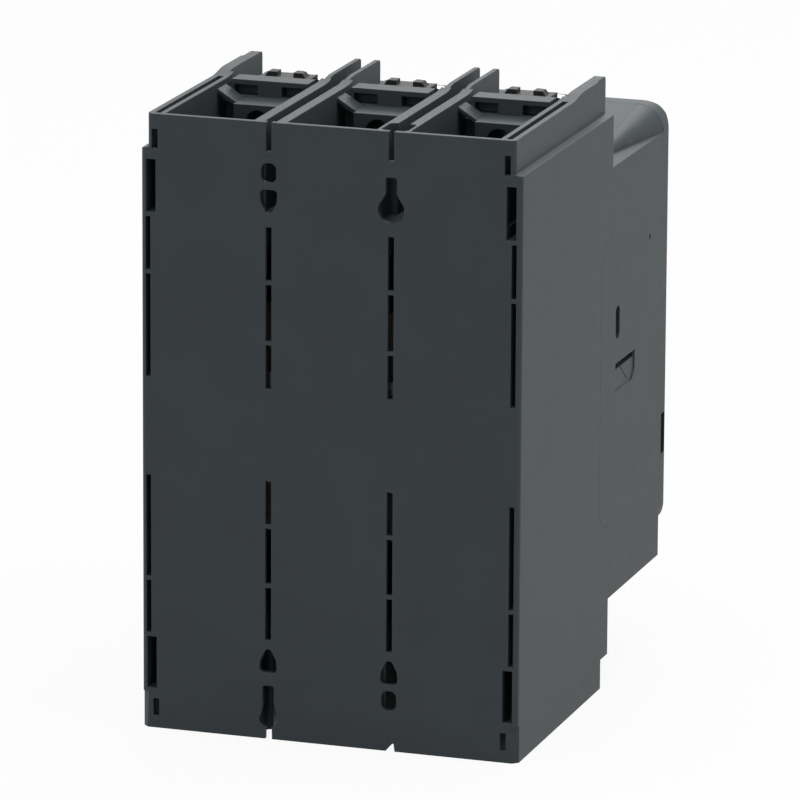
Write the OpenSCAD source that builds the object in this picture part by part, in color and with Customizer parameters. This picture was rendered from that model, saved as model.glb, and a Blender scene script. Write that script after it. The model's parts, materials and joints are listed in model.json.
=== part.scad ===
// Three-pole power contactor with screw terminals, made to be fixed to an upright plate.
// The mounting face is the plane y = 0, the front faces -Y and +Z is up. The origin is the
// middle of the mounting face. Depths run forward from that face, so a depth d is at y = -d.
// The pieces stand as they do with the coil off: contacts open, armature forward.

/* [Case] */
// Height over the phase fins
body_h = 225; // [190:1:265]
// Depth of the rear housing
rear_d = 108.5; // [92:0.5:128]
// Depth of the arc housing in front of the rear housing
arc_depth = 63.5; // [53:0.5:75]
// Depth of the front cover
cover_depth = 8; // [6.5:0.25:12]
// Thickness of the case beside an outer terminal
side_wall = 4.5; // [3.7:0.1:8]
// Thickness of the mounting wall
back_wall = 2.2; // [1.8:0.1:3]
// Thickness of the arc housing and cover walls
shell_wall = 3; // [2.2:0.1:3.6]
// Radius of the upright rear edges
rear_edge_r = 2; // [1:0.25:3]
// How far the top band lies inside the sides
band_inset = 2.5; // [1.5:0.25:3]
// Height of the top band and of the bevelled foot corners
band_h = 13.4; // [11:0.2:16]
// Height of the sloping step under the top band
band_slope = 0.7; // [0.4:0.1:2]
// Height of the foot, the lowest part of the rear housing
foot_h = 10.8; // [8:0.2:14]
// How far the foot stands back from the front of the rear housing
foot_set = 8.5; // [6:0.5:10]
// How much the fins rise over the mounting wall
fin_rise = 1.4; // [0.6:0.2:2]
// How much the sloping top of the arc housing rises to the cover
top_rise = 9.9; // [7:0.1:13]
// How far the cover ends above the bottom of the arc housing
cover_step = 9.1; // [7:0.1:11]
// Corner radius of the front cover
cover_r = 10; // [8:0.5:12]

/* [Poles] */
// Distance between poles
pole_pitch = 45; // [38:0.5:53]
// Width of the slot for a phase barrier, behind
barrier_slot = 4.4; // [3.6:0.2:5]
// Width of the slot for a phase barrier, between the fins
barrier_gap = 5.6; // [4.6:0.2:6.6]
// Thickness of the walls beside a phase barrier
barrier_wall = 3.8; // [3:0.1:4.6]
// Thickness of a fin in front of the pocket wall
fin_t = 1.7; // [1.4:0.1:2.2]
// Height of a terminal pocket
pocket_h = 32.5; // [28:0.5:38]
// Depth of the free room behind a nut cage
nut_room = 6.9; // [5:0.1:9]
// Thickness of the pocket wall
ledge_t = 8.5; // [7:0.25:10]
// Distance from the terminal bolts to the top of the fins
terminal_inset = 14; // [12:0.25:16.5]
// Thread radius of the terminal bolts
bolt_r = 5; // [4:0.25:5.5]
// Width of the current bars
bar_w = 25; // [21:0.5:29]
// Thickness of the current bars
bar_t = 5; // [4:0.25:6]
// Distance from the back of the bars to the front of the rear housing
bar_set = 18.5; // [16:0.25:22]

/* [Contacts] */
// Travel of the carrier
travel = 9; // [7.5:0.25:10.5]
// Opening between the contact tips
contact_gap = 7; // [5.5:0.25:7.25]
// Height of the contact tips above the middle
tip_z = 27; // [23:0.5:31]
// Edge length of a contact tip
tip_w = 12; // [10:0.5:14]
// Thickness of a contact tip
tip_t = 2.5; // [2:0.1:3]
// Width of a moving contact
bridge_w = 18; // [15:0.5:21]
// Thickness of a moving contact
bridge_t = 4; // [3:0.25:5]
// Length of the contact springs
contact_spring_l = 17; // [14:0.5:20]
// Radius of the contact springs
contact_spring_r = 6.1; // [5:0.1:7]

/* [Magnet] */
// Width of the core
core_w = 102; // [86:1:120]
// Stack thickness of the core
core_t = 40; // [34:1:47]
// Depth of the core's yoke
yoke_t = 14; // [11.5:0.5:16.5]
// Width of the middle limb
limb_w = 28; // [23:1:33]
// Width of an outer limb
side_limb_w = 15; // [12:0.5:18]
// Thickness of the armature
armature_t = 12; // [10:0.5:14]
// Thickness of the pads behind the core
pad_t = 3.8; // [3:0.1:4.5]
// Radius of the return springs
return_spring_r = 5; // [4:0.25:6]

/* [Arc chutes] */
// Thickness of a splitter plate
plate_t = 1.5; // [1:0.1:2]
// Distance between splitter plates
plate_step = 5.8; // [4.8:0.1:7]
// Thickness of a chute's cheeks
cheek_t = 1.4; // [1:0.1:1.8]

/* [Hidden] */
$fn = 48;

case_grey = [0.27, 0.285, 0.295];
black_plastic = [0.09, 0.09, 0.10];
beige_plastic = [0.72, 0.68, 0.58];
board_brown = [0.62, 0.40, 0.30];
indicator_white = [0.85, 0.85, 0.82];
copper = [0.75, 0.46, 0.32];
tin = [0.74, 0.74, 0.72];
silver = [0.85, 0.85, 0.83];
zinc = [0.66, 0.67, 0.68];
steel = [0.48, 0.49, 0.50];

// Overlap of cuts and joined forms, clearances of fixed and of moving pieces, and outer seams
eps = 0.05;
past = 1;
slip = 0.2;
run_gap = 0.4;
seam = 0.1;
pole_xs = [-pole_pitch, 0, pole_pitch];
gap_xs = [-pole_pitch / 2, pole_pitch / 2];

// Outline of the case
half_chamber = pole_pitch / 2 - barrier_gap / 2 - fin_t;
half_pocket = pole_pitch / 2 - barrier_slot / 2 - barrier_wall;
band_half_w = pole_pitch + half_chamber + side_wall;
half_w = band_half_w + band_inset;
half_h = body_h / 2;
wall_top = half_h - fin_rise;
step_z = half_h - band_h;
arc_d = rear_d + arc_depth;
body_d = arc_d + cover_depth;
foot_d = rear_d - foot_set;

// Terminal ends
pocket_z = half_h - pocket_h;
pocket_floor_t = 3;
cavity_z = pocket_z - pocket_floor_t;
bar_d = rear_d - bar_set;
bar_front_d = bar_d + bar_t;
bar_half_w = bar_w / 2;
terminal_z = half_h - terminal_inset;
bar_end_z = terminal_z + 1.84 * bolt_r;
seat_top_z = terminal_z + bolt_r;
shoulder_d = bar_front_d + 1;
barrier_floor_z = pocket_z - 1.6;
side_slot_w = 2.2;
side_slot_outer = band_half_w - 2;

// Nut, cage and bolt
nut_af = 3.2 * bolt_r;
nut_corner = nut_af / 2 / cos(30);
nut_h = 1.6 * bolt_r;
head_h = 1.28 * bolt_r;
bolt_past = 3.5;
bolt_hole_r = bolt_r - 0.4;
cage_wall = 1.6;
cage_half_w = nut_af / 2 + cage_wall;
cage_back_d = bar_d - nut_h - cage_wall;
cage_low_z = terminal_z - nut_corner - cage_wall;
cage_top_z = terminal_z + nut_corner + cage_wall;
ledge_front_d = cage_back_d - nut_room;
ledge_d = ledge_front_d - ledge_t;
washer_t = 2;
lock_washer_t = 2.5;
washer_d = bar_front_d + washer_t;
head_d = washer_d + lock_washer_t;
seat_d = cage_back_d + cage_wall;

// Contact system
tip_face_d = bar_front_d + tip_t;
moving_tip_d = tip_face_d + contact_gap + eps;
bridge_d = moving_tip_d + tip_t;
bridge_front_d = bridge_d + bridge_t;
bridge_half_l = tip_z + tip_w / 2 + 1;
bar_inner_z = tip_z - tip_w / 2 - 3;
window_front_d = bridge_front_d + contact_spring_l;
column_wall = 4.6;
column_web = 5;
column_half_w = bridge_w / 2 + run_gap + column_wall;
column_half_z = 12.5;
column_front_d = window_front_d + column_web;
indicator_half_w = 5;
indicator_half_z = 3;

// Contact frame: its front carries the bars
frame_t = 12;
frame_d = bar_d - frame_t;
frame_half_z = cavity_z - run_gap;
cavity_half_w = half_w - 5.6;
wide_cavity_half_w = half_w - 3.7;
deep_cavity_d = ledge_d - 3;

// Magnet, from the carrier's base plate back to the pads
carrier_t = 5;
carrier_room = 5.9;
carrier_d = frame_d - carrier_room - carrier_t;
armature_d = carrier_d - armature_t;
pole_face_d = armature_d - travel - 2 * eps;
yoke_d = back_wall + pad_t;
limb_back_d = yoke_d + yoke_t;
wing_half_w = 9;
return_spring_z = core_t / 2 + 2 * return_spring_r + 0.5;
wing_z = return_spring_z + return_spring_r + 1.5;
rivet_r = 2.2;
rivet_head_r = 3.6;
rivet_head_t = 2;
bobbin_wall = 2;
bobbin_half_w = core_w / 2 - side_limb_w - 0.5;
bobbin_edge = 6;
bobbin_half_z = return_spring_z + return_spring_r + bobbin_edge;
bobbin_back_d = limb_back_d + 0.3;
bobbin_front_d = pole_face_d - 1;
winding_inset = 1.5;

// Screws that hold the two housings and the contact frame together
screw_r = 1.8;
screw_z = cavity_z - 5.8;
screw_boss_r = 4.8;
screw_hole_r = screw_r + 0.4;
screw_grip = 12;
screw_head_r = 3.8;
screw_head_t = 3;
boss_front_d = rear_d + 7.5;

// Arc housing
arc_up = pocket_z - 0.7;
arc_down = pocket_z + 0.9;
cover_up = arc_up + top_rise;
cover_down = arc_down - cover_step;
arc_inner_w = half_w - shell_wall - 0.5;
arc_up_in = arc_up - shell_wall;
arc_down_in = arc_down - shell_wall - 0.6;
partition_t = 4;
tongue_z = cavity_z - 24;
tongue_d = rear_d - 12.5;
tongue_r = 10;
wedge_side = 18;
lip_t = 3.2;
cover_screw_r = 1.6;
cover_head_r = 3.4;
cover_head_t = 2.2;
cover_head_d = body_d - 2.9;
cover_boss_r = 4.6;
cover_screw_x = half_w - 12;
cover_screw_up = cover_up - 11;
cover_screw_down = cover_down - 10;

// Arc chutes
chute_z0 = bridge_half_l + 3.5;
chute_z1 = screw_z - screw_boss_r - 0.9;
lip_z = chute_z1 - 8.5;
chute_d0 = bar_front_d;
chute_d1 = arc_d - lip_t;
chute_half_w = pole_pitch / 2 - partition_t / 2 - slip;
plate_half_w = chute_half_w - cheek_t;
plate_d0 = chute_d0 + 6;
plate_n = floor((chute_d1 - plate_d0 - plate_t - 2) / plate_step) + 1;
plate_low_z = chute_z0 + 1;
plate_top_z = chute_z1 - cheek_t - slip;
plate_notch_w = 8;

// Side coupling: the arms of the carrier stand in slots in the arc housing
drive_z = 4;
drive_t = 1.6;
drive_w = 5;
drive_reach = 0.8;
drive_d = column_front_d - drive_w - 1;
drive_slot_d0 = drive_d - travel - 2.1;
drive_slot_d1 = drive_d + drive_w + 5.7;

// Coil terminals
block_half_w = 20;
block_h = 19;
block_low_z = -cover_down;
block_top_z = block_low_z + block_h;
block_front_d = body_d - 0.5;
coil_screw_r = 1.5;
coil_head_r = 3.3;
coil_head_t = 2.2;
coil_screw_x = block_half_w / 2;
coil_screw_z = block_low_z + 11;
coil_head_d = block_front_d - 3;
clamp_t = 1.2;
clamp_half_w = 2.8;
clamp_top_z = coil_screw_z + 3.3;
wire_room_d = arc_d + 1.2;

// A box between two sideways limits, two depths and two heights
module slab(x, d, z) translate([x[0], -d[1], z[0]]) cube([x[1] - x[0], d[1] - d[0], z[1] - z[0]]);

// The same, with both sides at the same distance from the middle
module wide(half, d, z) slab([-half, half], d, z);

// A round bar along the depth
module rod(r, d, x = 0, z = 0) translate([x, -d[0], z]) rotate([90, 0, 0]) cylinder(r = r, h = d[1] - d[0]);

// An outline in x and z, carried along the depth
module along_depth(d) translate([0, -d[0], 0]) rotate([90, 0, 0]) linear_extrude(d[1] - d[0]) children();

// An outline in depth and height, carried sideways
module along_width(x) translate([x[0], 0, 0]) rotate([90, 0, -90]) mirror([0, 0, 1])
    linear_extrude(x[1] - x[0]) children();

module at_poles() for (x = pole_xs) translate([x, 0, 0]) children();
module at_gaps() for (x = gap_xs) translate([x, 0, 0]) children();

module both_ends() {
    children();
    mirror([0, 0, 1]) children();
}

module both_sides() {
    children();
    mirror([1, 0, 0]) children();
}

// Points on an arc about a point, from one angle to another
function arc(x, z, r, a0, a1) = [for (i = [0:5])
    let (a = a0 + (a1 - a0) * i / 5)
    [x + r * cos(a), z + r * sin(a)]];

// A box whose upright rear edges are rounded
module plan_block(half, d1, z) {
    wide(half - rear_edge_r, [0, d1], z);
    wide(half, [rear_edge_r, d1], z);
    both_sides() translate([half - rear_edge_r, -rear_edge_r, z[0]])
        cylinder(r = rear_edge_r, h = z[1] - z[0]);
}

// A box with four rounded corners in the x-z view
module soft_box(x, d, z, r) {
    slab([x[0] + r, x[1] - r], d, z);
    slab(x, d, [z[0] + r, z[1] - r]);
    for (px = [x[0] + r, x[1] - r], pz = [z[0] + r, z[1] - r]) rod(r, d, px, pz);
}

// A box with four rounded corners seen from above
module soft_column(x, d, z, r) {
    slab([x[0] + r, x[1] - r], d, z);
    slab(x, [d[0] + r, d[1] - r], z);
    for (px = [x[0] + r, x[1] - r], pd = [d[0] + r, d[1] - r])
        translate([px, -pd, z[0]]) cylinder(r = r, h = z[1] - z[0]);
}

// A box with four rounded corners seen from the side
module soft_side(x, d, z, r) {
    slab(x, [d[0] + r, d[1] - r], z);
    slab(x, d, [z[0] + r, z[1] - r]);
    for (pd = [d[0] + r, d[1] - r], pz = [z[0] + r, z[1] - r])
        translate([x[0], -pd, pz]) rotate([0, 90, 0]) cylinder(r = r, h = x[1] - x[0]);
}

// REAR HOUSING

fin_curve_back_d = ledge_d + 2;
fin_curve_front_d = ledge_front_d + 6;
fin_tip_r = 1.5;
rabbet_t = 0.7;
rabbet_d = rear_d - 10;

// Solid form of the rear housing before its chambers are cut
module rear_body() {
    plan_block(band_half_w, rear_d, [0, wall_top]);
    intersection() {
        plan_block(half_w, rear_d, [-half_h, step_z]);
        along_depth([0, rear_d]) polygon([
            [-half_w, -half_h], [half_w, -half_h],
            [half_w, step_z - band_slope], [band_half_w, step_z],
            [-band_half_w, step_z], [-half_w, step_z - band_slope]
        ]);
    }
    // the fins swell up in a soft curve in front of the pocket wall
    along_width([-band_half_w, band_half_w]) polygon(concat(
        [[fin_curve_back_d, wall_top - 1]],
        [for (i = [0:10]) [
            fin_curve_back_d + (fin_curve_front_d - fin_curve_back_d) * i / 10,
            wall_top + fin_rise * (1 - cos(18 * i)) / 2]],
        [for (a = [90:-15:0]) [
            rear_d - fin_tip_r + fin_tip_r * cos(a), half_h - fin_tip_r + fin_tip_r * sin(a)]],
        [[rear_d, wall_top - 1]]
    ));
}

// The foot's rear leans in towards the bottom, and its corners are bevelled
module foot_relief() {
    lean = 0.6;
    bevel = band_inset;
    along_width([-half_w - past, half_w + past]) polygon([
        [-past, -half_h - past], [lean, -half_h - past], [0, foot_h - half_h], [-past, foot_h - half_h]]);
    both_sides() translate([half_w, 0, -half_h - past]) linear_extrude(band_h + past) polygon([
        [-bevel - past, past], [past, -bevel - past], [past, past]]);
    wide(half_w + past, [foot_d, rear_d + past], [-half_h - past, foot_h - half_h]);
}

// Rooms of one terminal, at the upper end
module terminal_rooms() {
    top_z = half_h + past;
    notch_w = 2.2;
    notch_z = wall_top - 8;
    dent_x0 = 4.5;
    dent_x1 = half_pocket - 3.2;
    dent_t = 5;
    dent_low_z = wall_top - 5.6;
    dent_top_z = wall_top - 1.8;
    wide(half_pocket, [back_wall, ledge_d], [pocket_z, top_z]);
    wide(half_pocket, [ledge_d - past, ledge_front_d + past], [wall_top, top_z]);
    wide(half_chamber, [ledge_front_d, seat_d], [pocket_z, top_z]);
    wide(half_chamber, [shoulder_d, rear_d + past], [pocket_z, top_z]);
    wide(half_chamber, [seat_d - eps, shoulder_d + eps], [seat_top_z, top_z]);
    // the seat of the bar and its cage
    wide(bar_half_w + slip, [bar_d, shoulder_d + eps], [pocket_z, top_z]);
    wide(cage_half_w + slip, [seat_d - eps, bar_d + eps], [cage_low_z - slip, top_z]);
    wide(half_chamber + 0.1, [bar_d, rear_d + past], [cavity_z - past, pocket_z + eps]);
    // notches and dents of the pocket wall, and its hole behind the bolt
    both_sides() slab([half_pocket - notch_w, half_pocket + eps], [ledge_d - eps, ledge_front_d + eps],
        [notch_z, top_z]);
    both_sides() slab([dent_x0, dent_x1], [ledge_d - eps, ledge_d + dent_t], [dent_low_z, dent_top_z]);
    rod(bolt_hole_r, [ledge_d - eps, ledge_front_d + eps], 0, terminal_z);
}

// Stiffening of the pocket wall: a pad behind the bolt and ribs to the corners
module pocket_pad() {
    pad_half = half_pocket - 7.5;
    pad_top = terminal_z + 6.5;
    pad_back_d = ledge_d - 13;
    rib_back_d = ledge_d - 9;
    rib_h = 1.6;
    difference() {
        union() {
            wide(pad_half, [pad_back_d, ledge_d + eps], [pocket_z - eps, pad_top]);
            both_sides() along_depth([rib_back_d, ledge_d + eps]) polygon([
                [pad_half - 0.5, pad_top - 0.8 - rib_h], [half_pocket + eps, wall_top - 2 - rib_h],
                [half_pocket + eps, wall_top - 2], [pad_half - 0.5, pad_top - 0.8]
            ]);
        }
        rod(bolt_hole_r, [pad_back_d - past, ledge_d + past], 0, terminal_z);
    }
}

// Slots for the phase barriers at one end, open to the front and the end
module barrier_slots() {
    top_z = half_h + past;
    at_gaps() {
        wide(barrier_slot / 2, [back_wall, ledge_front_d], [barrier_floor_z, top_z]);
        wide(barrier_gap / 2, [ledge_front_d - eps, rear_d + past], [barrier_floor_z, top_z]);
    }
    both_sides() slab([side_slot_outer - side_slot_w, side_slot_outer], [back_wall, ledge_d + 3],
        [pocket_z, top_z]);
}

// Room for a mounting screw's head, open to the end, behind a keyhole
module screw_channel(half, depth) soft_column([-half, half], [back_wall, depth],
    [barrier_floor_z, half_h + past], 2);

// A keyhole through the mounting wall: round below, narrow above, with shoulders between
module keyhole(round_r, neck_w, round_z, neck_l, shoulder_a) {
    neck = neck_w / 2;
    side = 0.97 * round_r * cos(shoulder_a);
    foot = 0.97 * round_r * sin(shoulder_a);
    shoulder = foot + (side - neck) / tan(shoulder_a);
    rod(round_r, [-past, back_wall + past], 0, round_z);
    soft_box([-neck, neck], [-past, back_wall + past], [round_z, round_z + neck_l], 0.8);
    along_depth([-past, back_wall + past]) translate([0, round_z]) polygon([
        [-side, foot], [side, foot], [neck, shoulder], [-neck, shoulder]]);
}

slot_web = 1.5;
slot_w = 2.2;
slot_l = 19.2;
second_slot_l = 20.2;
inner_slot_l = 15.7;
edge_slot_l = 37.2;

// A row of upright slots through the mounting wall, running down from a height
function total(v, n) = n == 0 ? 0 : v[n - 1] + total(v, n - 1);

module slot_row(x, depth, top, lengths) for (i = [0:len(lengths) - 1]) {
    end_z = top - total(lengths, i) - i * slot_web;
    slab(x, [-past, depth], [end_z - lengths[i], end_z]);
}

// A core-out hole like a shield, with its round point down
module shield_hole(low_z) {
    half = 3.2;
    r = 1.6;
    l = 8.6;
    along_depth([-past, back_wall + past]) translate([0, low_z]) polygon(concat(
        arc(0, r, r, -150, -30),
        [[0.92 * half, 0.46 * l]],
        arc(half - r, l - r, r, 0, 90),
        arc(r - half, l - r, r, 90, 180),
        [[-0.92 * half, 0.46 * l]]));
}

module round_hole(low_z) soft_box([-2.8, 2.8], [-past, back_wall + past], [low_z, low_z + 7.1], 2.4);

// Core-out slots beside the side walls, at the upper end
module edge_outs(low_z, small_l) {
    small_z = low_z + 22.8;
    end_z = low_z - slot_web;
    next_z = end_z - slot_l - slot_web;
    slab([half_w - 5.6, half_w - 2], [-past, 20], [low_z, low_z + 19]);
    slab([half_w - 6.4, half_w - 4.2], [-past, back_wall + past], [small_z, small_z + small_l]);
    slab([half_w - 3.6, half_w - 1.8], [-past, deep_cavity_d - 4], [end_z - slot_l, end_z]);
    slab([half_w - 3.6, half_w - 1.8], [-past, deep_cavity_d - 4], [next_z - edge_slot_l, next_z]);
}

module mounting_wall_holes() {
    depth = back_wall + eps;
    slot_depth = frame_d / 2;
    slot_x = [-slot_w / 2, slot_w / 2];
    lengths = [slot_l, second_slot_l, inner_slot_l];
    at_gaps() {
        slot_row(slot_x, slot_depth, cavity_z - 3.3, lengths);
        mirror([0, 0, 1]) slot_row(slot_x, slot_depth, cavity_z - 1, lengths);
        mirror([0, 0, 1]) shield_hole(pocket_z - 0.7);
        wide(1, [-past, depth], [wall_top - 10.5, half_h + past]);
    }
    // the keyholes stand on opposite sides, and core-outs fill the places across
    translate([gap_xs[0], 0, 0]) {
        keyhole(4.8, 4.1, pocket_z + 3.2, 11.6, 30);
        mirror([0, 0, 1]) round_hole(pocket_z + 10.3);
        along_depth([-past, depth]) polygon([
            [-2.2, -half_h - past], [-1.75, 2.9 - half_h], [-1.2, 2.9 - half_h], [2.2, -half_h - past]]);
    }
    translate([gap_xs[1], 0, 0]) {
        keyhole(3.6, 4.3, 7.8 - half_h, 12, 15);
        shield_hole(pocket_z - 1.5);
        round_hole(pocket_z + 9.5);
        soft_box([-1.3, 1.3], [-past, depth], [-half_h - 2, 4.7 - half_h], 1);
    }
    both_sides() {
        edge_outs(pocket_z - 4.2, 7.1);
        mirror([0, 0, 1]) edge_outs(pocket_z - 1.3, 6.4);
    }
}

// Recess in the side walls for the arc housing's tongues
module tongue(x, grow) {
    reach = tongue_z + grow;
    intersection() {
        soft_side(x, [tongue_d - grow, rear_d + 4 * tongue_r], [-reach, reach], tongue_r + grow);
        slab([x[0] - 1, x[1] + 1], [tongue_d - 2, rear_d + (grow > 0 ? 1 : 0)],
            [-tongue_z - 2, tongue_z + 2]);
    }
}

module rear_housing() color(case_grey) {
    pilot_r = screw_r + 0.02;
    difference() {
        union() {
            difference() {
                rear_body();
                wide(cavity_half_w, [back_wall, deep_cavity_d + 1], [-cavity_z, cavity_z]);
                wide(wide_cavity_half_w, [deep_cavity_d, rear_d + past], [-cavity_z, cavity_z]);
                both_ends() at_poles() terminal_rooms();
                both_ends() barrier_slots();
                both_sides() tongue([wide_cavity_half_w - 1, half_w + past], seam);
                both_sides() slab([band_half_w - rabbet_t, half_w + past], [rabbet_d, rear_d + past],
                    [step_z, half_h + past]);
                foot_relief();
                translate([gap_xs[0], 0, 0]) screw_channel(4.9, 14);
                translate([gap_xs[1], 0, 0]) mirror([0, 0, 1]) screw_channel(4.6, 12);
            }
            both_ends() at_poles() pocket_pad();
            // pillars that carry the contact frame
            both_ends() at_gaps() rod(screw_boss_r, [back_wall - eps, frame_d], 0, screw_z);
            both_ends() both_sides() slab([cavity_half_w - 6, cavity_half_w + 0.1],
                [back_wall - eps, frame_d], [cavity_z - 14, cavity_z + 0.1]);
            // stops that hold the core sideways
            both_sides() slab([core_w / 2 + 0.3, cavity_half_w + 0.1],
                [back_wall - eps, limb_back_d], [-5, 5]);
        }
        mounting_wall_holes();
        both_ends() at_gaps() rod(pilot_r, [frame_d - screw_grip - 2, frame_d + past], 0, screw_z);
    }
}

// CONTACT FRAME

// The bars lie on its front and the carrier's columns pass through it. Four posts hold the coil.
module contact_frame() color(black_plastic) {
    difference() {
        wide(wide_cavity_half_w - run_gap, [frame_d, bar_d], [-frame_half_z, frame_half_z]);
        at_poles() wide(column_half_w + 0.6, [frame_d - past, bar_d + past],
            [-column_half_z - 0.8, column_half_z + 0.8]);
        both_ends() at_poles() wide(bar_half_w + 1, [frame_d - past, bar_d - 3],
            [column_half_z + 6, screw_z - screw_boss_r - 4]);
        both_ends() at_gaps() rod(screw_hole_r, [frame_d - past, bar_d + past], 0, screw_z);
    }
    both_ends() at_gaps()
        wide(4, [bobbin_front_d, frame_d + eps], [bobbin_half_z - 12, bobbin_half_z - 3]);
}

// CURRENT PATH

module current_bar() difference() {
    soft_box([-bar_half_w, bar_half_w], [bar_d, bar_front_d], [bar_inner_z, bar_end_z - slip], 3);
    rod(bolt_r + 0.3, [bar_d - past, bar_front_d + past], 0, terminal_z);
}

module upper_bar(i) color(tin) translate([pole_xs[i - 1], 0, 0]) current_bar();
module lower_bar(i) color(tin) translate([pole_xs[i - 1], 0, 0]) mirror([0, 0, 1]) current_bar();

module contact_tip(d) soft_box([-tip_w / 2, tip_w / 2], [d, d + tip_t],
    [tip_z - tip_w / 2, tip_z + tip_w / 2], 1.5);

module fixed_tips() color(silver) both_ends() at_poles() contact_tip(bar_front_d);

// A hexagonal bar along the depth, with two flats upright
module hex(af, d) translate([0, -d[0], terminal_z]) rotate([90, 30, 0])
    cylinder(r = af / 2 / cos(30), h = d[1] - d[0], $fn = 6);

// A nut's cage with the two ears that stand up over the pocket wall
module nut_cages() color(black_plastic) both_ends() at_poles() difference() {
    union() {
        wide(cage_half_w, [cage_back_d, bar_d - 0.1], [cage_low_z, cage_top_z]);
        both_sides() along_depth([cage_back_d + 1.5, cage_back_d + 6]) polygon([
            [3.1, cage_top_z - 1], [3.1, wall_top], [6.4, wall_top], [7.6, wall_top - 1.6],
            [8.2, cage_top_z - 1]
        ]);
    }
    hex(nut_af + slip, [bar_d - nut_h, bar_d + past]);
    rod(bolt_r + 0.4, [cage_back_d - past, bar_d], 0, terminal_z);
}

module terminal_nuts() color(zinc) both_ends() at_poles() difference() {
    hex(nut_af, [bar_d - nut_h, bar_d]);
    rod(bolt_r + 0.02, [bar_d - nut_h - past, bar_d + past], 0, terminal_z);
}

// Bolts whose heads are turned off at the corners
module terminal_bolts() color(zinc) both_ends() at_poles() {
    cone_h = 10;
    rod(bolt_r, [bar_d - nut_h - bolt_past, head_d + eps], 0, terminal_z);
    intersection() {
        hex(nut_af, [head_d, head_d + head_h]);
        translate([0, -head_d - head_h, terminal_z]) rotate([-90, 0, 0])
            cylinder(r1 = nut_af / 2, r2 = nut_af / 2 + cone_h, h = cone_h);
    }
}

module ring(outer, inner, d) difference() {
    rod(outer, d, 0, terminal_z);
    rod(inner, [d[0] - past, d[1] + past], 0, terminal_z);
}

module flat_washers() color(zinc) both_ends() at_poles()
    ring(2 * bolt_r - slip, bolt_r + 0.25, [bar_front_d, washer_d]);

module spring_washers() color(steel) both_ends() at_poles() difference() {
    ring(1.8 * bolt_r, bolt_r + 0.25, [washer_d, head_d]);
    translate([0, -washer_d - lock_washer_t / 2, terminal_z]) rotate([0, 0, 25])
        translate([-0.5, -3, 0]) cube([1, 6, 2.5 * bolt_r]);
}

// MAGNET

module magnet_core() color(steel) difference() {
    wide(core_w / 2, [yoke_d, pole_face_d], [-core_t / 2, core_t / 2]);
    both_sides() slab([limb_w / 2, core_w / 2 - side_limb_w], [limb_back_d, pole_face_d + past],
        [-core_t, core_t]);
    both_sides() translate([core_w / 2 - side_limb_w / 2, -yoke_d - yoke_t / 2, -core_t])
        cylinder(r = 2.5, h = 2 * core_t);
}

// Room for the middle limb, larger by grow on every side
module limb_room(grow, d) {
    reach = run_gap + grow;
    wide(limb_w / 2 + reach, d, [-core_t / 2 - reach, core_t / 2 + reach]);
}

module bobbin_flange(d) difference() {
    soft_box([-bobbin_half_w, bobbin_half_w], d, [-bobbin_half_z, bobbin_half_z], 4);
    limb_room(0, [d[0] - past, d[1] + past]);
}

module coil_bobbin() color(beige_plastic) {
    difference() {
        limb_room(bobbin_wall, [bobbin_back_d, bobbin_front_d]);
        limb_room(0, [bobbin_back_d - past, bobbin_front_d + past]);
    }
    bobbin_flange([bobbin_back_d, bobbin_back_d + bobbin_wall]);
    bobbin_flange([bobbin_front_d - bobbin_wall, bobbin_front_d]);
}

module coil_winding() color(copper) difference() {
    half_x = bobbin_half_w - winding_inset;
    half_z = bobbin_half_z - winding_inset;
    d = [bobbin_back_d + bobbin_wall, bobbin_front_d - bobbin_wall];
    soft_box([-half_x, half_x], d, [-half_z, half_z], 6);
    limb_room(bobbin_wall, [d[0] - past, d[1] + past]);
}

module damper_pads() color(black_plastic) both_sides()
    soft_box([core_w / 2 - 27, core_w / 2 - 5], [back_wall, yoke_d], [-core_t / 2 + 4, core_t / 2 - 4], 2);

// A coil spring along the depth, as a tube swept on a helix
function spring_ring(r, wire, d0, pitch, a, sides) = [for (k = [0:sides - 1])
    let (b = 360 * k / sides, rr = r + wire * cos(b))
    [rr * cos(a), -(d0 + pitch * a / 360 + wire * sin(b)), rr * sin(a)]];

// Springs are given by their outer radius and the radius of their wire
module coil_spring(outer, wire, d) {
    turns = 5;
    sides = 6;
    per_turn = 12;
    rings = turns * per_turn;
    rise = (d[1] - d[0] - 2 * wire) / turns;
    points = [for (i = [0:rings])
        each spring_ring(outer - wire, wire, d[0] + wire, rise, 360 * i / per_turn, sides)];
    skin = [for (i = [0:rings - 1], k = [0:sides - 1])
        let (n = (k + 1) % sides)
        [i * sides + k, (i + 1) * sides + k, (i + 1) * sides + n, i * sides + n]];
    caps = [[for (k = [0:sides - 1]) k], [for (k = [sides - 1:-1:0]) rings * sides + k]];
    polyhedron(points, concat(skin, caps));
}

module return_springs() color(steel) both_ends() translate([0, 0, return_spring_z])
    coil_spring(return_spring_r, 0.6, [bobbin_front_d + slip, carrier_d - slip]);

// MOVING PARTS

module carrier() color(beige_plastic) {
    arm_x = pole_pitch + column_half_w;
    plate_front_d = carrier_d + carrier_t;
    column = [-column_half_z, column_half_z];
    through = [-column_half_z - past, column_half_z + past];
    difference() {
        union() {
            wide(arm_x, [carrier_d, plate_front_d], column);
            wide(wing_half_w, [carrier_d, plate_front_d], [-wing_z, wing_z]);
            at_poles() wide(column_half_w, [carrier_d, column_front_d], column);
            both_sides() slab([arm_x - 1, arc_inner_w + drive_reach], [drive_d, drive_d + drive_w],
                [drive_z - drive_t / 2, drive_z + drive_t / 2]);
        }
        at_poles() {
            wide(bridge_w / 2 + run_gap, [bridge_d, window_front_d], through);
            wide(bridge_w / 2, [plate_front_d + 6, bridge_d - 4], through);
        }
        at_gaps() rod(rivet_r + eps, [carrier_d - past, plate_front_d + past]);
    }
}

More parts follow.
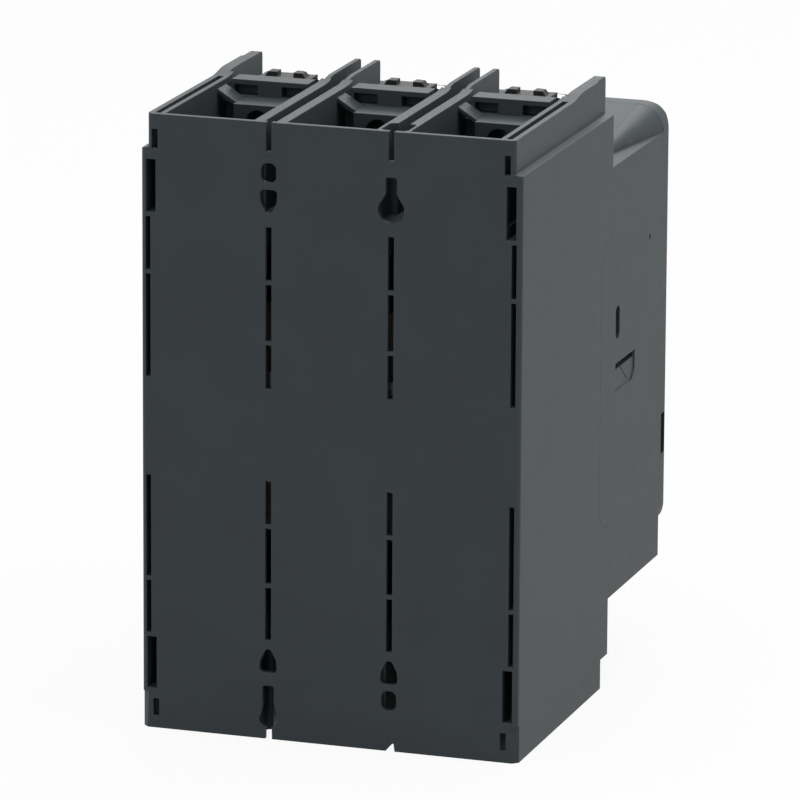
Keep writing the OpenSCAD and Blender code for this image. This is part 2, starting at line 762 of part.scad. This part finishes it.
module armature() color(steel) difference() {
    wide(core_w / 2, [armature_d, carrier_d], [-core_t / 2, core_t / 2]);
    at_gaps() {
        rod(rivet_r + eps, [armature_d - past, carrier_d + past]);
        rod(rivet_head_r + slip, [armature_d - past, armature_d + rivet_head_t + 0.5]);
    }
}

module armature_rivets() color(zinc) at_gaps() {
    back_d = armature_d + 0.5;
    front_d = carrier_d + carrier_t;
    rod(rivet_r, [back_d, front_d + rivet_head_t]);
    rod(rivet_head_r, [back_d, back_d + rivet_head_t]);
    rod(rivet_head_r, [front_d, front_d + rivet_head_t]);
}

module indicator() color(indicator_white)
    wide(indicator_half_w, [column_front_d, body_d - 1.5], [-indicator_half_z, indicator_half_z]);

module moving_contact(i) color(copper) translate([pole_xs[i - 1], 0, 0])
    soft_box([-bridge_w / 2, bridge_w / 2], [bridge_d, bridge_front_d],
        [-bridge_half_l, bridge_half_l], 3);

module moving_tips(i) color(silver) translate([pole_xs[i - 1], 0, 0])
    both_ends() contact_tip(moving_tip_d);

module contact_spring(i) color(steel) translate([pole_xs[i - 1], 0, 0])
    coil_spring(contact_spring_r, 0.8, [bridge_front_d + slip, window_front_d - slip]);

// ARC CHUTES

module arc_frames() color(board_brown) both_ends() at_poles() {
    both_sides() slab([plate_half_w, chute_half_w], [chute_d0, chute_d1], [chute_z0, chute_z1]);
    wide(chute_half_w, [chute_d0, chute_d1], [chute_z1 - cheek_t, chute_z1]);
}

// One chute's splitter plates, each with a notch that draws the arc in
module arc_plates() at_poles() for (k = [0:plate_n - 1]) translate([0, -k * plate_step, 0])
    along_depth([plate_d0, plate_d0 + plate_t]) polygon([
        [-plate_half_w, plate_low_z], [-plate_notch_w, plate_low_z],
        [0, 0.55 * plate_low_z + 0.45 * plate_top_z],
        [plate_notch_w, plate_low_z], [plate_half_w, plate_low_z],
        [plate_half_w, plate_top_z], [-plate_half_w, plate_top_z]
    ]);

module upper_arc_plates() color(zinc) arc_plates();
module lower_arc_plates() color(zinc) mirror([0, 0, 1]) arc_plates();

// ARC HOUSING

// Outline of the front cover, larger by grow on every side
module cover_outline(grow = 0) {
    r = cover_r + grow;
    w = half_w + grow;
    up = cover_up + grow;
    down = cover_down + grow;
    translate([-w + r, -down]) square([2 * (w - r), up + down]);
    translate([-w, -down + r]) square([2 * w, up + down - 2 * r]);
    for (x = [-w + r, w - r], z = [-down + r, up - r]) translate([x, z]) circle(r = r);
}

// The top rises to the cover, and its sides swell into the cover's round corners
module arc_top_wedge() {
    flat_half_w = half_w - cover_r;
    along_width([-flat_half_w, flat_half_w]) polygon([
        [rear_d, arc_up - 1], [arc_d, arc_up - 1], [arc_d, cover_up], [rear_d, arc_up]]);
    both_sides() translate([flat_half_w, -rear_d, cover_up - cover_r]) rotate([90, 0, 0])
        cylinder(r1 = max(eps, cover_r - top_rise - eps), r2 = cover_r - eps, h = arc_depth);
}

module arc_housing() color(case_grey) difference() {
    union() {
        difference() {
            union() {
                wide(half_w, [rear_d, arc_d], [-arc_down, arc_up]);
                arc_top_wedge();
            }
            wide(arc_inner_w, [rear_d - past, arc_d + past], [-arc_down_in, arc_up_in]);
            along_width([wedge_side - half_w, half_w - wedge_side]) polygon([
                [rear_d + 6, arc_up_in - 1], [arc_d + past, arc_up_in - 1],
                [arc_d + past, cover_up - shell_wall], [rear_d + 6, arc_up_in]]);
        }
        both_sides() tongue([wide_cavity_half_w + slip, half_w], 0);
        // walls between the poles
        at_gaps() {
            wide(partition_t / 2, [bar_d, rear_d + 1], [0.6 - cavity_z, cavity_z - 0.6]);
            wide(partition_t / 2, [rear_d, arc_d - lip_t + eps], [-arc_down_in - 1, arc_up_in + 1]);
        }
        // tongues that close the slots over the bars
        both_ends() at_poles() wide(half_chamber - slip, [bar_front_d + 0.3, rear_d + 1],
            [cavity_z - 0.3, arc_up]);
        both_ends() at_gaps() rod(screw_boss_r, [bar_d, boss_front_d], 0, screw_z);
        // lips that hold the chutes and carry the cover screws
        wide(half_w - 1, [arc_d - lip_t, arc_d], [lip_z, arc_up_in + 1]);
        wide(half_w - 1, [arc_d - lip_t, arc_d], [-arc_down_in - 1, -lip_z]);
        both_sides() rod(cover_boss_r, [arc_d - 7, arc_d], cover_screw_x, cover_screw_up);
    }
    both_ends() at_gaps() {
        rod(screw_hole_r, [bar_d - past, boss_front_d + past], 0, screw_z);
        rod(screw_head_r + run_gap, [boss_front_d, arc_d + past], 0, screw_z);
    }
    both_sides() for (z = [cover_screw_up, -cover_screw_down])
        rod(cover_screw_r + 0.02, [arc_d - lip_t - 1, arc_d + past], cover_screw_x, z);
    both_sides() side_coupling();
}

// What a side-mounted auxiliary block hooks into and is driven through
module side_coupling() {
    outside = half_w + past;
    inside = arc_inner_w - past;
    recess_t = 0.5;
    groove_t = 0.4;
    recess_d0 = drive_slot_d0 - 1.9;
    recess_d1 = drive_slot_d1 + 0.7;
    recess_top = drive_z + 1.4;
    recess_low = drive_z - 9.2;
    hook_d1 = recess_d0 + 5;
    hook_z = drive_z + 10.4;
    hook_l = 12.2;
    gate_z = drive_z + 39.5;
    soft_side([inside, outside], [recess_d0, hook_d1], [hook_z, hook_z + hook_l], 2.4);
    slab([inside, outside], [drive_slot_d0, drive_slot_d1],
        [drive_z - drive_t / 2 - 0.3, drive_z + drive_t / 2 + 0.3]);
    along_width([half_w - recess_t, outside]) polygon([
        [recess_d0, recess_top], [recess_d1, recess_top], [recess_d1, recess_low + 3.2],
        [recess_d1 - 3.3, recess_low], [recess_d0 + 1, recess_low], [recess_d0, recess_low + 1]]);
    along_width([half_w - recess_t - groove_t, outside]) polygon([
        [recess_d0 + 7, drive_z - 1], [recess_d0 + 7.7, drive_z - 1],
        [recess_d0 + 16.4, recess_low + 1.6], [recess_d0 + 15.7, recess_low + 1.6]]);
    translate([half_w - 0.4, 16 - arc_d, gate_z]) rotate([0, 90, 0]) cylinder(r = 1, h = 2);
}

// FRONT COVER

blunt = 1.5;

// Blunt front edges, seen from the side and from above
module blunt_front() along_width([-half_w - past, half_w + past]) polygon([
    [arc_d - 1, -cover_down], [body_d - blunt, -cover_down], [body_d, blunt - cover_down],
    [body_d, cover_up - blunt], [body_d - blunt, cover_up], [arc_d - 1, cover_up]]);

module blunt_sides() translate([0, 0, -cover_down - 1]) mirror([0, 1, 0])
    linear_extrude(cover_up + cover_down + 2) polygon([
        [-half_w, arc_d - 1], [-half_w, body_d - blunt], [blunt - half_w, body_d],
        [half_w - blunt, body_d], [half_w, body_d - blunt], [half_w, arc_d - 1]]);

module front_cover() color(case_grey) difference() {
    inner_d = body_d - shell_wall;
    grip_back_d = body_d - 6.2;
    grip_front_d = body_d - blunt - 0.2;
    grip_low = -42.9;
    grip_l = 15.4;
    intersection() {
        union() {
            difference() {
                along_depth([arc_d, body_d]) cover_outline();
                along_depth([arc_d - 1, inner_d]) cover_outline(-shell_wall);
            }
            both_sides() for (z = [cover_screw_up, -cover_screw_down])
                rod(cover_boss_r, [arc_d, body_d - 1], cover_screw_x, z);
        }
        blunt_front();
        blunt_sides();
    }
    wide(indicator_half_w + 0.3, [inner_d - past, body_d + past],
        [-indicator_half_z - 0.3, indicator_half_z + 0.3]);
    wide(block_half_w + slip, [arc_d - past, body_d + past], [block_low_z - past, block_top_z + slip]);
    both_sides() {
        slab([half_w - shell_wall - past, half_w + past], [grip_back_d, grip_front_d],
            [grip_low, grip_low + grip_l]);
        for (z = [cover_screw_up, -cover_screw_down]) {
            rod(cover_screw_r + 0.3, [arc_d - past, body_d + past], cover_screw_x, z);
            rod(cover_head_r + run_gap, [cover_head_d, body_d + past], cover_screw_x, z);
        }
    }
}

// SCREWS

// A crossed driver recess in a screw head
module driver_cross(x, z, l, face_d) translate([x, 0, z]) for (a = [0, 90]) rotate([0, a, 0])
    wide(0.6, [face_d - 1.4, face_d + past], [-l / 2, l / 2]);

// A screw with a flat round head, from its point to the head's face
module round_screw(r, head_r, head_t, x, z, point_d, seat_d) difference() {
    union() {
        rod(r, [point_d, seat_d + eps], x, z);
        rod(head_r, [seat_d, seat_d + head_t], x, z);
    }
    driver_cross(x, z, 1.3 * head_r, seat_d + head_t);
}

module housing_screws() color(zinc) both_ends() at_gaps() round_screw(
    screw_r, screw_head_r, screw_head_t, 0, screw_z, frame_d - screw_grip, boss_front_d);

module cover_screws() color(zinc) both_sides() for (z = [cover_screw_up, -cover_screw_down]) round_screw(
    cover_screw_r, cover_head_r, cover_head_t, cover_screw_x, z, arc_d - lip_t + 0.2, cover_head_d);

// COIL TERMINALS

module coil_terminal_block() color(black_plastic) difference() {
    wide(block_half_w, [arc_d, block_front_d], [block_low_z, block_top_z]);
    both_sides() {
        rod(coil_head_r + 0.6, [coil_head_d, block_front_d + past], coil_screw_x, coil_screw_z);
        rod(coil_screw_r + 0.02, [arc_d + 1, block_front_d + past], coil_screw_x, coil_screw_z);
        slab([coil_screw_x - clamp_half_w - slip, coil_screw_x + clamp_half_w + slip],
            [wire_room_d, coil_head_d], [block_low_z - past, clamp_top_z + slip]);
    }
}

module coil_clamps() color(zinc) both_sides() difference() {
    slab([coil_screw_x - clamp_half_w, coil_screw_x + clamp_half_w], [coil_head_d - clamp_t, coil_head_d],
        [block_low_z + 4, clamp_top_z]);
    rod(coil_screw_r + 0.3, [arc_d, body_d], coil_screw_x, coil_screw_z);
}

module coil_screws() color(zinc) both_sides() round_screw(
    coil_screw_r, coil_head_r, coil_head_t, coil_screw_x, coil_screw_z, arc_d + 2, coil_head_d);

rear_housing();
arc_housing();
front_cover();
contact_frame();
upper_bar(1);  // upper_bar_1
upper_bar(2);  // upper_bar_2
upper_bar(3);  // upper_bar_3
lower_bar(1);  // lower_bar_1
lower_bar(2);  // lower_bar_2
lower_bar(3);  // lower_bar_3
fixed_tips();
nut_cages();
terminal_nuts();
terminal_bolts();
flat_washers();
spring_washers();
magnet_core();
coil_bobbin();
coil_winding();
damper_pads();
return_springs();
arc_frames();
upper_arc_plates();
lower_arc_plates();
housing_screws();
cover_screws();
coil_terminal_block();
coil_clamps();
coil_screws();
carrier();
armature();
armature_rivets();
indicator();
moving_contact(1);  // moving_contact_1
moving_contact(2);  // moving_contact_2
moving_contact(3);  // moving_contact_3
moving_tips(1);  // moving_tips_1
moving_tips(2);  // moving_tips_2
moving_tips(3);  // moving_tips_3
contact_spring(1);  // contact_spring_1
contact_spring(2);  // contact_spring_2
contact_spring(3);  // contact_spring_3
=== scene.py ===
import json
import math

import bpy
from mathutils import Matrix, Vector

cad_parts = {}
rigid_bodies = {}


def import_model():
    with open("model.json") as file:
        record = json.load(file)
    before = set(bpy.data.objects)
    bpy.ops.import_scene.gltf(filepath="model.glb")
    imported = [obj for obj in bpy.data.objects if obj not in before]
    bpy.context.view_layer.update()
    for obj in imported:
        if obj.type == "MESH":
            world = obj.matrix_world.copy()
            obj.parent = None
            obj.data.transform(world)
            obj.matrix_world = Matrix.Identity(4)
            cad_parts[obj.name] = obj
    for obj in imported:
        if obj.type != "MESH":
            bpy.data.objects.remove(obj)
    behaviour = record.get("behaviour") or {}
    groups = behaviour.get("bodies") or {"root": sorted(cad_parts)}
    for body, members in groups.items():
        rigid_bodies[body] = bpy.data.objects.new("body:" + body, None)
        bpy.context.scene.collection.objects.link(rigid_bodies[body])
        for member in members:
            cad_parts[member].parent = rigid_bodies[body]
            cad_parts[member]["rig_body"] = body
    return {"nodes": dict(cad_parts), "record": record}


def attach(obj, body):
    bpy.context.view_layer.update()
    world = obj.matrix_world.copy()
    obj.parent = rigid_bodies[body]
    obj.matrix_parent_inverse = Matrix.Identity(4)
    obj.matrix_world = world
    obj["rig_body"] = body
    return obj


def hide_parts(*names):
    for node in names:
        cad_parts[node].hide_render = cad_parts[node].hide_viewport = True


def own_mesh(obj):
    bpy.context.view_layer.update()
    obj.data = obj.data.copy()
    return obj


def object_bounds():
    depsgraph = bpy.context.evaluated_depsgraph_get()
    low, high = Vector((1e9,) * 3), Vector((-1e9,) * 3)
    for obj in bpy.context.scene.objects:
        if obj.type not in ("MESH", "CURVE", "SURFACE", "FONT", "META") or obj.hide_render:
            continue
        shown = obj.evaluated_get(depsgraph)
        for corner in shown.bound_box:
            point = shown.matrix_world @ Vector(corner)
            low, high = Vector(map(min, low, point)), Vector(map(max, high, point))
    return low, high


# A three-pole contactor stands with its mounting face towards the camera.
# Lengths are in metres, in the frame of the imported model, and angles in degrees.

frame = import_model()
nodes = frame["nodes"]
cad_low, cad_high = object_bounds()

MM = 0.001
WHITE = (1.0, 1.0, 1.0, 1.0)

# The camera stands behind the object and a little above it, far off with a long lens
CAMERA_EYE = (-0.83572, 2.44220, 0.67174)
CAMERA_TURN = (75.697, -0.307, -161.581)
CAMERA_LENS = 342.99
CAMERA_REACH = 50.0
SENSOR = 36.0

# Sharp edges are rounded off by this radius in the shading. An edge gets a painted highlight, a
# lighter colour, where the rounded normal leaves the plain one: fully at the first cosine, not at
# all at the second
PLASTIC_EDGE = 0.45 * MM
METAL_EDGE = 0.25 * MM
HIGHLIGHT_FULL_AT = 0.75
EDGE_PLAIN = 0.98

# Texture scales count features per metre, roughly
PLASTIC_CLOUDS = 35.0
PLASTIC_SHEEN_PATCHES = 420.0
PLASTIC_SHEEN_DRIFT = 0.015
PLASTIC_GRAIN = 2600.0
PLASTIC_GRAIN_DEPTH = 0.05 * MM
PLASTIC_IOR = 1.5
# Sharp plastic edges get a painted highlight: their colour times this gain, plus this lift
EDGE_HIGHLIGHT_GAIN = 1.35
EDGE_HIGHLIGHT_LIFT = 0.012

METAL_STAINS = 90.0
METAL_MARKS = 900.0
METAL_MARK_DEPTH = 0.03 * MM
METAL_POLISHED = 0.08
METAL_DULLED = 0.1
# Sharp metal edges get a painted highlight: their colour times this gain
METAL_HIGHLIGHT_GAIN = 1.12
UNBRUSHED = (1.0, 1.0, 1.0)
BRUSHED_UP = (1.0, 1.0, 0.08)
BRUSHED_ACROSS = (0.1, 1.0, 1.0)

WIRE_ROWS = 320.0
WIRE_DEPTH = 0.2 * MM
SHEET_ROWS = 310.0
SHEET_DEPTH = 0.15 * MM
SHEET_PATCHES = 600.0

# The Mix node's sockets for colours
MIX_FIRST = 6
MIX_SECOND = 7
MIX_RESULT = 2

FLOOR_SIZE = 12.0
FLOOR_ROUGHNESS = 0.9
FLOOR_GLOW = 0.92
BACKDROP_GREY = 0.6
SKY_COLOUR = (0.95, 0.97, 1.0, 1.0)
SKY_STRENGTH = 0.28

# Round lamps that all face one point: name, place, width in metres, power in watts
LAMP_TARGET = (0.0, -0.08, 0.0)
LAMPS = (
    ("overhead", (0.0, 0.12, 1.7), 1.2, 17.5),
    ("upper_right", (-0.95, -0.1, 1.35), 0.9, 11.0),
    ("front_top", (0.1, -1.5, 1.4), 1.4, 20.0),
    ("behind_camera", (0.2, 1.9, 0.9), 1.4, 6.0),
    ("left_fill", (1.7, 0.3, 0.6), 1.4, 5.0),
)


def add_camera():
    data = bpy.data.cameras.new("camera")
    data.lens = CAMERA_LENS
    data.sensor_width = SENSOR
    data.clip_end = CAMERA_REACH
    camera = bpy.data.objects.new("camera", data)
    camera.location = CAMERA_EYE
    camera.rotation_euler = [math.radians(a) for a in CAMERA_TURN]
    bpy.context.scene.collection.objects.link(camera)
    bpy.context.scene.camera = camera


def opaque(colour):
    """A colour with its alpha, or the socket that carries one, unchanged."""
    return (*colour, 1.0) if isinstance(colour, tuple) else colour


class Shader:
    """A material's node tree, built in object coordinates so that the grain has a real size."""

    def __init__(self, name):
        self.material = bpy.data.materials.new(name)
        self.material.use_nodes = True
        self.tree = self.material.node_tree
        self.surface = self.tree.nodes["Principled BSDF"]
        self.place = self.add("ShaderNodeTexCoord").outputs["Object"]

    def add(self, kind, **inputs):
        node = self.tree.nodes.new(kind)
        for key, value in inputs.items():
            self.feed(node.inputs[key.replace("_", " ")], value)
        return node

    def feed(self, socket, value):
        """Links a socket to the given one, or sets a plain value on it."""
        if isinstance(value, bpy.types.NodeSocket):
            self.tree.links.new(value, socket)
        else:
            socket.default_value = value

    def set(self, **inputs):
        for key, value in inputs.items():
            self.feed(self.surface.inputs[key.replace("_", " ")], value)

    def stretched(self, scale):
        return self.add("ShaderNodeMapping", Vector=self.place, Scale=scale).outputs["Vector"]

    def noise(self, scale, detail=3.0, vector=None):
        vector = vector or self.place
        node = self.add("ShaderNodeTexNoise", Vector=vector, Scale=scale, Detail=detail)
        return node.outputs["Fac"]

    def rows(self, axis, scale, distortion):
        """Even ridges that follow one another along an axis."""
        node = self.add("ShaderNodeTexWave", Vector=self.place, Scale=scale,
                        Distortion=distortion, Detail=1.0)
        node.bands_direction = axis
        return node.outputs["Fac"]

    def spread(self, fac, low, high, start=0.3, end=0.7):
        node = self.add("ShaderNodeMapRange", Value=fac, From_Min=start, From_Max=end,
                        To_Min=low, To_Max=high)
        return node.outputs["Result"]

    def blend(self, fac, first, second):
        node = self.add("ShaderNodeMix")
        node.data_type = "RGBA"
        self.feed(node.inputs["Factor"], fac)
        self.feed(node.inputs[MIX_FIRST], opaque(first))
        self.feed(node.inputs[MIX_SECOND], opaque(second))
        return node.outputs[MIX_RESULT]

    def edge_normal_and_highlight(self, radius):
        """The normal rounded off at sharp edges, and a mask for the painted highlight there."""
        rounded = self.add("ShaderNodeBevel", Radius=radius).outputs["Normal"]
        plain = self.add("ShaderNodeNewGeometry").outputs["Normal"]
        match = self.add("ShaderNodeVectorMath")
        match.operation = "DOT_PRODUCT"
        self.feed(match.inputs[0], rounded)
        self.feed(match.inputs[1], plain)
        return rounded, self.spread(match.outputs["Value"], 1.0, 0.0, HIGHLIGHT_FULL_AT, EDGE_PLAIN)

    def bump(self, height, strength, distance, normal):
        node = self.add("ShaderNodeBump", Height=height, Strength=strength,
                        Distance=distance, Normal=normal)
        self.set(Normal=node.outputs["Normal"])


def plastic(name, colour, roughness, grain=0.3, drift=0.06, shine=0.2):
    """A moulded plastic with a fine spark-eroded grain, faint flow clouds and a painted highlight
    along sharp edges.
    """
    s = Shader(name)
    normal, edge = s.edge_normal_and_highlight(PLASTIC_EDGE)
    darker = tuple(c * (1.0 - drift) for c in colour)
    lighter = tuple(c * (1.0 + drift) for c in colour)
    # Painted highlight: sharp edges are lightened to this colour
    edge_highlight_colour = tuple(c * EDGE_HIGHLIGHT_GAIN + EDGE_HIGHLIGHT_LIFT for c in colour)
    body = s.blend(s.spread(s.noise(PLASTIC_CLOUDS, 4.0), 0.0, 1.0), darker, lighter)
    s.set(Base_Color=s.blend(edge, body, edge_highlight_colour))
    sheen = s.spread(s.noise(PLASTIC_SHEEN_PATCHES),
                     roughness - PLASTIC_SHEEN_DRIFT, roughness + PLASTIC_SHEEN_DRIFT)
    s.set(Roughness=sheen, IOR=PLASTIC_IOR, Specular_IOR_Level=shine)
    s.bump(s.noise(PLASTIC_GRAIN, 2.0), grain, PLASTIC_GRAIN_DEPTH, normal)
    return s.material


def metal(name, colour, roughness, brushed=UNBRUSHED, tarnish=0.12, grain=0.2):
    """A metal with a worked surface; brushed stretches the marks along one axis."""
    s = Shader(name)
    normal, edge = s.edge_normal_and_highlight(METAL_EDGE)
    darker = tuple(c * (1.0 - tarnish) for c in colour)
    # Sharp edges are lightened to this colour: a painted highlight
    lighter = tuple(min(1.0, c * METAL_HIGHLIGHT_GAIN) for c in colour)
    body = s.blend(s.spread(s.noise(METAL_STAINS, 5.0), 0.0, 1.0), darker, colour)
    s.set(Base_Color=s.blend(edge, body, lighter), Metallic=1.0)
    marks = s.noise(METAL_MARKS, 3.0, s.stretched(brushed))
    s.set(Roughness=s.spread(marks, roughness - METAL_POLISHED, roughness + METAL_DULLED))
    s.bump(marks, grain, METAL_MARK_DEPTH, normal)
    return s.material


def wound_copper():
    """Enamelled wire laid in rows: fine ridges along the winding's axis, with painted shade in
    the grooves between turns.
    """
    s = Shader("wound_copper")
    normal = s.edge_normal_and_highlight(METAL_EDGE)[0]
    wire = s.rows("Y", WIRE_ROWS, 0.4)
    # The colour darkens into the grooves between turns: painted shade; the ridges themselves are
    # bumps
    s.set(Base_Color=s.blend(wire, (0.30, 0.09, 0.03), (0.62, 0.24, 0.09)))
    s.set(Metallic=0.8, Roughness=0.32)
    s.bump(wire, 0.6, WIRE_DEPTH, normal)
    return s.material


def laminated_steel():
    """Stacked sheets, seen from the side as fine lines one above the other."""
    s = Shader("laminated_steel")
    normal = s.edge_normal_and_highlight(METAL_EDGE)[0]
    sheets = s.rows("Z", SHEET_ROWS, 0.2)
    s.set(Base_Color=s.blend(sheets, (0.16, 0.16, 0.17), (0.42, 0.42, 0.43)))
    s.set(Metallic=1.0, Roughness=s.spread(s.noise(SHEET_PATCHES), 0.36, 0.5))
    s.bump(sheets, 0.5, SHEET_DEPTH, normal)
    return s.material


def paint_slots():
    """Gives each piece the look of its material slot; the coil alone has one of its own."""
    looks = {
        "case": plastic("case_plastic", (0.034, 0.042, 0.046), 0.5),
        "inner_plastic": plastic("inner_plastic", (0.011, 0.011, 0.012), 0.5, shine=0.25),
        "bobbin_plastic": plastic("bobbin_plastic", (0.42, 0.37, 0.28), 0.5),
        "chute_board": plastic("chute_board", (0.22, 0.085, 0.045), 0.7, grain=0.8, drift=0.25),
        "indicator_white": plastic("indicator_white", (0.62, 0.62, 0.58), 0.45),
        "tinned_copper": metal("tinned_copper", (0.70, 0.69, 0.66), 0.34, BRUSHED_UP),
        "contact_silver": metal("contact_silver", (0.80, 0.79, 0.77), 0.3),
        "zinc_plate": metal("zinc_plate", (0.62, 0.64, 0.66), 0.3),
        "spring_steel": metal("spring_steel", (0.42, 0.43, 0.45), 0.33),
        "plate_steel": metal("plate_steel", (0.50, 0.50, 0.48), 0.4, BRUSHED_ACROSS),
        "copper": metal("bright_copper", (0.78, 0.36, 0.22), 0.3, BRUSHED_UP),
        "core_steel": laminated_steel(),
    }
    own = {"coil_winding": wound_copper()}
    slots = {entry["node"]: entry["material_slot"] for entry in frame["record"]["subparts"]}
    for name, piece in nodes.items():
        look = own.get(name) or looks[slots[name]]
        piece.data.materials.clear()
        piece.data.materials.append(look)


def flex_springs():
    """Stands a copy in, on the same body, for each spring that its joint shortens, and hides the
    original.
    """
    for joint in frame["record"]["behaviour"]["joints"]:
        for entry in joint.get("deforming_nodes", []):
            name = entry["node"]
            spring = bpy.data.objects.new("pressed_" + name, nodes[name].data.copy())
            bpy.context.scene.collection.objects.link(spring)
            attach(spring, nodes[name]["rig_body"])
            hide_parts(name)
            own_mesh(spring)


def backdrop_rays(tree):
    """One for a ray that shows the backdrop: from the camera, off a gloss or through a glass."""
    path = tree.nodes.new("ShaderNodeLightPath")
    seen = path.outputs["Is Camera Ray"]
    for kind in ("Is Glossy Ray", "Is Transmission Ray"):
        either = tree.nodes.new("ShaderNodeMath")
        either.operation = "MAXIMUM"
        tree.links.new(seen, either.inputs[0])
        tree.links.new(path.outputs[kind], either.inputs[1])
        seen = either.outputs["Value"]
    return seen


def add_floor():
    """A paper floor at the object's foot that shows nearly white and keeps the shadow."""
    mesh = bpy.data.meshes.new("floor")
    half = FLOOR_SIZE / 2
    z = cad_low[2]
    corners = [(-half, -half, z), (half, -half, z), (half, half, z), (-half, half, z)]
    mesh.from_pydata(corners, [], [(0, 1, 2, 3)])
    floor = bpy.data.objects.new("floor", mesh)
    bpy.context.scene.collection.objects.link(floor)
    s = Shader("floor_paper")
    s.set(Base_Color=(BACKDROP_GREY, BACKDROP_GREY, BACKDROP_GREY, 1.0))
    s.set(Roughness=FLOOR_ROUGHNESS)
    glow = s.add("ShaderNodeEmission", Color=WHITE, Strength=1.0)
    sees = s.add("ShaderNodeMath")
    sees.operation = "MULTIPLY"
    s.feed(sees.inputs[0], backdrop_rays(s.tree))
    s.feed(sees.inputs[1], FLOOR_GLOW)
    mix = s.add("ShaderNodeMixShader", Fac=sees.outputs["Value"])
    s.feed(mix.inputs[1], s.surface.outputs["BSDF"])
    s.feed(mix.inputs[2], glow.outputs["Emission"])
    s.feed(s.tree.nodes["Material Output"].inputs["Surface"], mix.outputs["Shader"])
    mesh.materials.append(s.material)


def add_world():
    """Even pale surroundings for the object, plain white for the camera and for reflections."""
    world = bpy.data.worlds.new("studio")
    bpy.context.scene.world = world
    world.use_nodes = True
    tree = world.node_tree
    sky = tree.nodes["Background"]
    sky.inputs["Color"].default_value = SKY_COLOUR
    sky.inputs["Strength"].default_value = SKY_STRENGTH
    white = tree.nodes.new("ShaderNodeBackground")
    white.inputs["Color"].default_value = WHITE
    mix = tree.nodes.new("ShaderNodeMixShader")
    tree.links.new(backdrop_rays(tree), mix.inputs["Fac"])
    tree.links.new(sky.outputs["Background"], mix.inputs[1])
    tree.links.new(white.outputs["Background"], mix.inputs[2])
    tree.links.new(mix.outputs["Shader"], tree.nodes["World Output"].inputs["Surface"])


def turn_towards(aim):
    """The turn that points an object's -Z along aim."""
    flat = math.hypot(aim[0], aim[1])
    return (math.pi / 2 + math.atan2(aim[2], flat), 0.0, math.atan2(aim[1], aim[0]) - math.pi / 2)


def add_lamps():
    for name, place, width, power in LAMPS:
        data = bpy.data.lights.new(name, "AREA")
        data.shape = "DISK"
        data.size = width
        data.energy = power
        lamp = bpy.data.objects.new(name, data)
        lamp.location = place
        lamp.rotation_euler = turn_towards([t - p for t, p in zip(LAMP_TARGET, place)])
        bpy.context.scene.collection.objects.link(lamp)


add_camera()
paint_slots()
flex_springs()
add_floor()
add_world()
add_lamps()
bpy.context.scene.view_settings.view_transform = "Standard"
